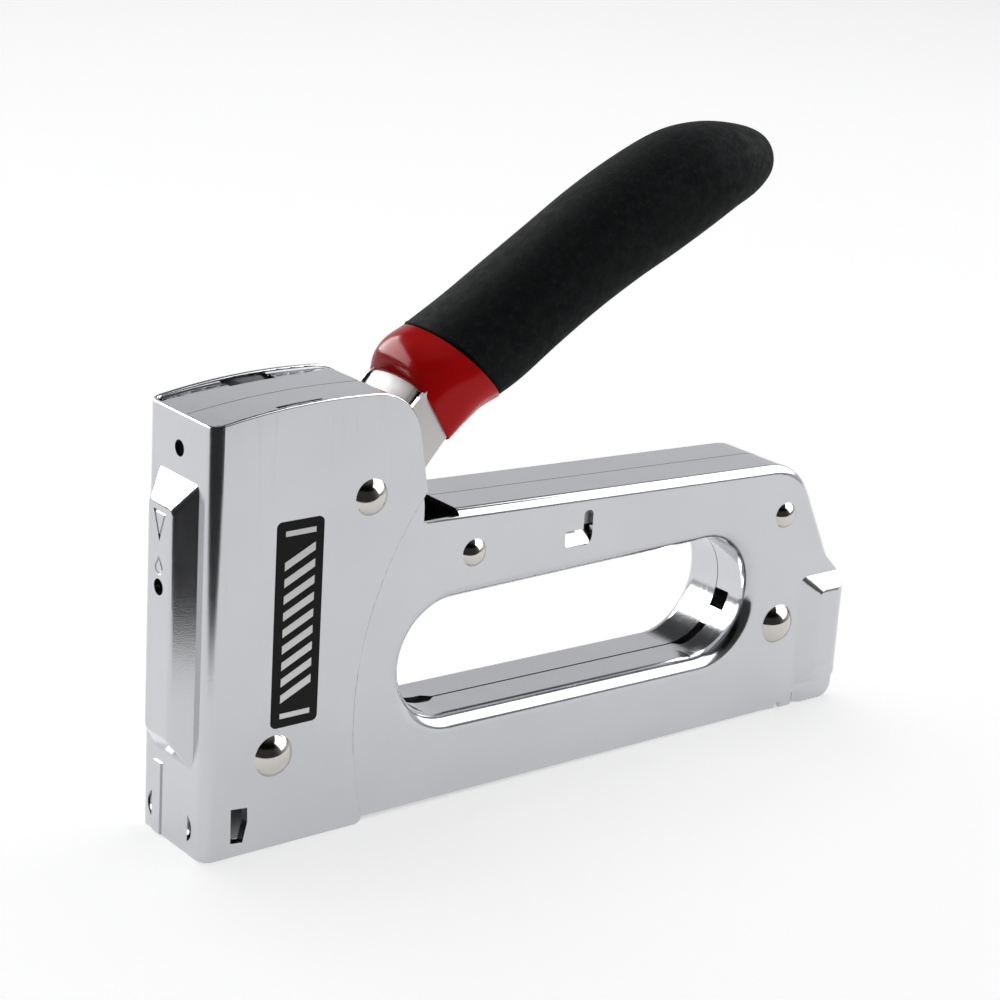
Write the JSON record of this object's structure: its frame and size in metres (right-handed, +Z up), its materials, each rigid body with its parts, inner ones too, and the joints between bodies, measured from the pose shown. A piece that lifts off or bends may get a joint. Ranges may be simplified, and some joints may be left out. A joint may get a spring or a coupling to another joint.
{
  "type": "staple gun",
  "caption": "Hand staple gun: folded bright steel shells, squeeze handle with foam grip, sprung driver blade and a staple magazine that slides out of the rear.",
  "frame": {"origin": "on the resting plane, under the middle of the tool's bounding box", "axes": "+X from the nose to the rear, +Y across the tool to the user's right, +Z up, away from the surface being stapled"},
  "size_m": [0.1784, 0.0288, 0.1369],
  "materials": {
    "chromed_steel": "bright nickel and chrome plate, polished",
    "rivet_nickel": "nickel-plated domed rivets",
    "lever_steel": "bright zinc-plated pressed steel",
    "inner_steel": "plain pressed steel",
    "hard_steel": "hardened ground steel",
    "spring_steel": "oiled spring wire",
    "staple_wire": "galvanised staple wire",
    "grip_black": "matte foam rubber with a fine pebble grain",
    "collar_red": "glossy deep red plastic",
    "label_black": "printed black label",
    "bumper_rubber": "moulded rubber"
  },
  "bodies": {
    "frame": {"nose_cover": "chromed_steel", "left_shell": "chromed_steel", "right_shell": "chromed_steel", "main_pivot_rivet": "rivet_nickel", "nose_rivet": "rivet_nickel", "arm_rivets": "rivet_nickel", "rear_rivet": "rivet_nickel", "spacer_tubes": "inner_steel", "pivot_bush": "hard_steel", "spring_seat": "inner_steel", "guide_plate": "inner_steel", "bumper_pad": "bumper_rubber", "magazine_channel": "inner_steel", "arm_brace": "inner_steel", "side_labels": "label_black", "lever_return_spring": "spring_steel", "power_spring": "spring_steel"},
    "handle": {"lever_left_plate": "lever_steel", "lever_right_plate": "lever_steel", "lever_spine": "lever_steel", "lever_tie_rivets": "rivet_nickel", "grip": "grip_black", "grip_collar": "collar_red"},
    "plunger": {"driver_blade": "hard_steel", "plunger_frame": "inner_steel", "plunger_cross_pin": "hard_steel"},
    "magazine": {"staple_rail": "inner_steel", "guide_rod": "hard_steel", "staple_strip": "staple_wire", "magazine_end_block": "inner_steel", "latch_pin": "hard_steel", "pusher_spring": "spring_steel"},
    "pusher": {"pusher": "inner_steel"},
    "latch": {"magazine_latch": "lever_steel"}
  },
  "joints": [
    {"name": "handle_squeeze", "type": "hinge", "parent": "frame", "child": "handle", "pos_m": [-0.04855, 0, 0.0703], "axis": [0, 1, 0], "range_deg": [0, 24], "stiffness_Nm_per_rad": 2, "springref_deg": -17.19},
    {"name": "plunger_lift", "type": "slide", "parent": "frame", "child": "plunger", "axis": [0, 0, 1], "range_m": [0, 0.0129], "deforming": ["power_spring"]},
    {"name": "magazine_slide", "type": "slide", "parent": "frame", "child": "magazine", "axis": [1, 0, 0], "range_m": [0, 0.105]},
    {"name": "pusher_slide", "type": "slide", "parent": "magazine", "child": "pusher", "axis": [1, 0, 0], "range_m": [0, 0.035], "stiffness_N_per_m": 60, "springref_m": -0.03, "deforming": ["pusher_spring"]},
    {"name": "magazine_latch_press", "type": "hinge", "parent": "magazine", "child": "latch", "pos_m": [0.08635, 0, 0.0034], "axis": [0, 1, 0], "range_deg": [0, 14], "stiffness_Nm_per_rad": 0.02, "springref_deg": -11.46}
  ],
  "couplings": [
    {"joint": "plunger_lift", "follows": "handle_squeeze", "m_per_rad": 0.03065}
  ]
}
